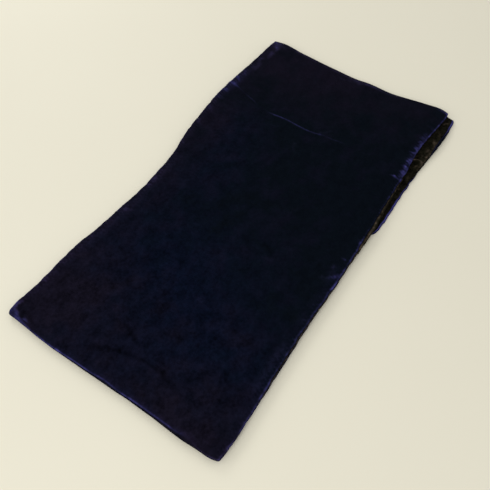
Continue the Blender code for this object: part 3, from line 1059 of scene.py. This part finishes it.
class Nodes:
    """Short ways to add shader nodes to one material."""

    def __init__(self, name):
        self.material = bpy.data.materials.new(name)
        self.material.use_nodes = True
        self.tree = self.material.node_tree
        self.shader = self.tree.nodes["Principled BSDF"]

    def add(self, kind, inputs=None, **settings):
        """A new node with its settings, and its inputs linked or set."""
        node = self.tree.nodes.new(kind)
        for name, value in settings.items():
            setattr(node, name, value)
        for name, value in (inputs or {}).items():
            if isinstance(value, bpy.types.NodeSocket):
                self.tree.links.new(value, node.inputs[name])
            else:
                node.inputs[name].default_value = value
        return node

    def place(self, stretch=(1, 1, 1)):
        """Object coordinates, stretched."""
        inputs = {"Vector": self.add("ShaderNodeTexCoord").outputs["Object"], "Scale": stretch}
        return self.add("ShaderNodeMapping", inputs).outputs["Vector"]

    def noise(self, vector, size, detail=2.0, rough=0.5):
        """Noise from 0 to 1 with patches of about that size, in metres."""
        settings = {"Vector": vector, "Scale": 1 / size, "Detail": detail, "Roughness": rough}
        return self.add("ShaderNodeTexNoise", settings).outputs["Fac"]

    def value(self, name):
        """A mesh attribute's value."""
        return self.add("ShaderNodeAttribute", attribute_name=name).outputs["Fac"]

    def math(self, operation, a, b, clamp=False):
        """The result of an operation on two numbers, held from 0 to 1 if clamp is set."""
        return self.add("ShaderNodeMath", {0: a, 1: b}, operation=operation, use_clamp=clamp).outputs[0]

    def ramp(self, value, low, high, to_low=0.0, to_high=1.0):
        """A value moved from one range to another, and held at its ends."""
        inputs = {"Value": value, "From Min": low, "From Max": high, "To Min": to_low, "To Max": to_high}
        return self.add("ShaderNodeMapRange", inputs).outputs["Result"]

    def spread(self, noise, least=0.0, most=1.0):
        """Noise moved to another range."""
        return self.ramp(noise, NOISE_LOW, NOISE_HIGH, least, most)

    def mix(self, share, a, b):
        """A mixture of two colours: a where share is 0, b where it is 1."""
        inputs = {0: share, 6: colour(a), 7: colour(b)}
        return self.add("ShaderNodeMix", inputs, data_type="RGBA").outputs[2]

    def shade(self, tone, factor):
        """A colour made lighter or darker by a factor."""
        return self.add("ShaderNodeVectorMath", {0: tone, "Scale": factor}, operation="SCALE").outputs[0]

    def raised(self, height, strength, distance, **under):
        """The normal of a surface that a height raises, over the normal given as Normal."""
        inputs = {"Height": height, "Strength": strength, "Distance": distance, **under}
        return self.add("ShaderNodeBump", inputs).outputs["Normal"]

    def finish(self, tone, settings):
        """The material, with its colour and the shader's plain settings."""
        self.tree.links.new(tone, self.shader.inputs["Base Color"])
        for name, value in settings.items():
            self.shader.inputs[name].default_value = value
        return self.material


def colour(value):
    """A colour socket as it is, or three numbers as a full colour."""
    return value if isinstance(value, bpy.types.NodeSocket) else (*value, 1.0)


def velvet(name, pile, tints, haze, violet_haze, full, patchy, grain, sheen, sheen_tint):
    """Velvet: near black face on, with an uneven pile, and painted highlights and painted shade laid over
    it.

    pile is the colour face on, and tints is pairs of an attribute and the colour that it brings in. The
    painted highlight shows haze where it is weak, or violet_haze where the pile is violet, and full where
    it is strong or cool; where the painted light falls below zero it is painted shade. patchy is how
    mottled the pile is where the attribute "blue" is 0 and where it is 1, and grain the size of its
    patches.
    """
    nodes = Nodes(name)
    plain = nodes.place()
    wide = nodes.noise(plain, TINT_PATCH, detail=3.0, rough=0.6)
    crushed = nodes.noise(nodes.place(NAP), grain, detail=3.0, rough=0.6)
    pressed = nodes.noise(plain, grain * PRESSED_SIZE, rough=0.6)
    fibres = nodes.noise(plain, FIBRE_SIZE, detail=1.0)
    painted_light = nodes.value("painted_light")

    tone = pile
    for attribute, tint in tints:
        edge_noise = nodes.spread(wide, -TINT_VARIES, TINT_VARIES)
        share = nodes.math("ADD", nodes.value(attribute), edge_noise, clamp=True)
        tone = nodes.mix(share, tone, tint)
    mottle = nodes.spread(crushed, -CRUSHED_VARIES, CRUSHED_VARIES)
    mottle = nodes.math("ADD", mottle, nodes.spread(pressed, -PRESSED_VARIES, PRESSED_VARIES))
    contrast = nodes.ramp(nodes.value("blue"), 0.0, 1.0, *patchy)
    factor = nodes.math("ADD", nodes.math("MULTIPLY", mottle, contrast), 1.0)
    factor = nodes.math("MULTIPLY", factor, nodes.spread(fibres, *FIBRE_SHADES))
    # Painted shade: darker where the painted light falls below zero.
    painted_shade = nodes.ramp(painted_light, -1.0, 0.0, HOLLOW_SHADE, 1.0)
    tone = nodes.shade(tone, nodes.math("MULTIPLY", factor, painted_shade))

    # Painted highlight: the colour turns towards the highlight colour as the painted light grows.
    broken = nodes.math("MULTIPLY", painted_light, nodes.spread(pressed, *GLOW_SHADES), clamp=True)
    haze = nodes.mix(nodes.value("violet"), haze, violet_haze)
    full_highlight = nodes.math("ADD", nodes.ramp(broken, *FULL_HIGHLIGHT_RANGE), nodes.value("cool"), clamp=True)
    highlight_colour = nodes.mix(full_highlight, haze, full)
    tone = nodes.mix(nodes.math("POWER", broken, GLOW_POWER), tone, highlight_colour)

    normal = nodes.raised(fibres, strength=0.35, distance=0.25 * MM)
    normal = nodes.raised(pressed, strength=0.4, distance=0.5 * MM, Normal=normal)
    nodes.tree.links.new(normal, nodes.shader.inputs["Normal"])
    settings = {
        "Roughness": 0.95,
        "Specular IOR Level": 0.015,
        "Sheen Weight": sheen,
        "Sheen Roughness": 0.22,
        "Sheen Tint": (*sheen_tint, 1.0),
    }
    return nodes.finish(tone, settings)


def navy_velvet():
    """The outer cloth's velvet, which is more mottled where it is blue."""
    return velvet(
        "navy velvet",
        pile=NAVY,
        tints=(("blue", NAVY_BLUE), ("violet", NAVY_VIOLET)),
        haze=NAVY_HAZE,
        violet_haze=NAVY_VIOLET_HAZE,
        full=NAVY_GLOW,
        patchy=(0.30, 0.80),
        grain=11 * MM,
        sheen=0.12,
        sheen_tint=(0.25, 0.27, 1.0),
    )


def brown_velvet():
    """The lining's velvet, which is mottled all over."""
    return velvet(
        "brown velvet",
        pile=BROWN,
        tints=(),
        haze=BROWN_HAZE,
        violet_haze=BROWN_HAZE,
        full=BROWN_GLOW,
        patchy=(1.5, 1.5),
        grain=5 * MM,
        sheen=0.06,
        sheen_tint=(1.0, 0.75, 0.5),
    )


def table_material():
    """A cream table top, very slightly clouded."""
    nodes = Nodes("cream table")
    cloud = nodes.spread(nodes.noise(nodes.place(), TABLE_CLOUD))
    return nodes.finish(nodes.mix(cloud, *TABLE_TONES), {"Roughness": 0.6, "Specular IOR Level": 0.2})


def footprint_middle(points):
    """The point under the middle of the box round all the points."""
    low, high = points.reshape(-1, 3).min(axis=0), points.reshape(-1, 3).max(axis=0)
    return (low + high) / 2 * (1, 1, 0)


def table_top():
    """The floor that the snood lies on."""
    ends = (-TABLE_HALF, TABLE_HALF)
    corners = [(x, y, TABLE_LEVEL) for y in ends for x in ends]
    mesh = bpy.data.meshes.new("table_top")
    mesh.from_pydata(corners, [], [(0, 1, 3, 2)])
    mesh.materials.append(table_material())
    floor = bpy.data.objects.new("table_top", mesh)
    bpy.context.scene.collection.objects.link(floor)
    return floor


def light_scene():
    """Soft room light from all round, and the lamps."""
    world = bpy.data.worlds.new("room")
    world.use_nodes = True
    background = world.node_tree.nodes["Background"]
    background.inputs["Color"].default_value = (1.0, 1.0, 1.0, 1.0)
    background.inputs["Strength"].default_value = ROOM_LIGHT
    bpy.context.scene.world = world
    for name, place, power in LAMPS:
        light = bpy.data.lights.new(name, "AREA")
        light.shape, light.size, light.energy = "DISK", LAMP_SIZE, power
        lamp = bpy.data.objects.new(name, light)
        lamp.location = place
        lamp.rotation_euler = (-Vector(place)).to_track_quat("-Z", "Y").to_euler()
        bpy.context.scene.collection.objects.link(lamp)


def add_camera(middle):
    """The photograph's camera."""
    forward = Vector((*CAMERA_HEADING, 0)).normalized() * math.cos(CAMERA_PITCH)
    forward.z = -math.sin(CAMERA_PITCH)
    level = Vector((CAMERA_HEADING[1], -CAMERA_HEADING[0], 0)).normalized()
    upright = level.cross(forward)
    right = level * math.cos(CAMERA_ROLL) + upright * math.sin(CAMERA_ROLL)
    up = upright * math.cos(CAMERA_ROLL) - level * math.sin(CAMERA_ROLL)
    data = bpy.data.cameras.new("camera")
    data.lens = data.sensor_width * FOCAL_PIXELS / PICTURE
    data.clip_start = 0.01
    camera = bpy.data.objects.new("camera", data)
    turn = Matrix((right, up, -forward)).transposed().to_4x4()
    camera.matrix_world = Matrix.Translation(Vector(CAMERA_PLACE) - Vector(middle)) @ turn
    bpy.context.scene.collection.objects.link(camera)
    bpy.context.scene.camera = camera


def main():
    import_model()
    loop = Loop()

    x, depth, along = section(loop, -1, OUTER_REACH, OUTER_MIDDLE)
    points = loop.place(x, depth)
    middle = footprint_middle(points)
    values = outer_values(loop, x, along, points)
    outer = ring("navy_velvet_shell", points - middle, values, navy_velvet())

    x, depth, along = section(loop, 1, LINING_REACH, LINING_MIDDLE)
    points = loop.place(x, depth)
    values = lining_values(loop, x, along, points)
    lining = ring("brown_velvet_shell", points - middle, values, brown_velvet())

    pieces = ((outer, "outer_velvet", "navy_velvet"), (lining, "lining_velvet", "brown_velvet"))
    for piece, node, slot in pieces:
        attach(piece, "root")
        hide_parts(node)
    floor = table_top()
    light_scene()
    add_camera(middle)
    bpy.context.scene.view_settings.view_transform = "Standard"


main()
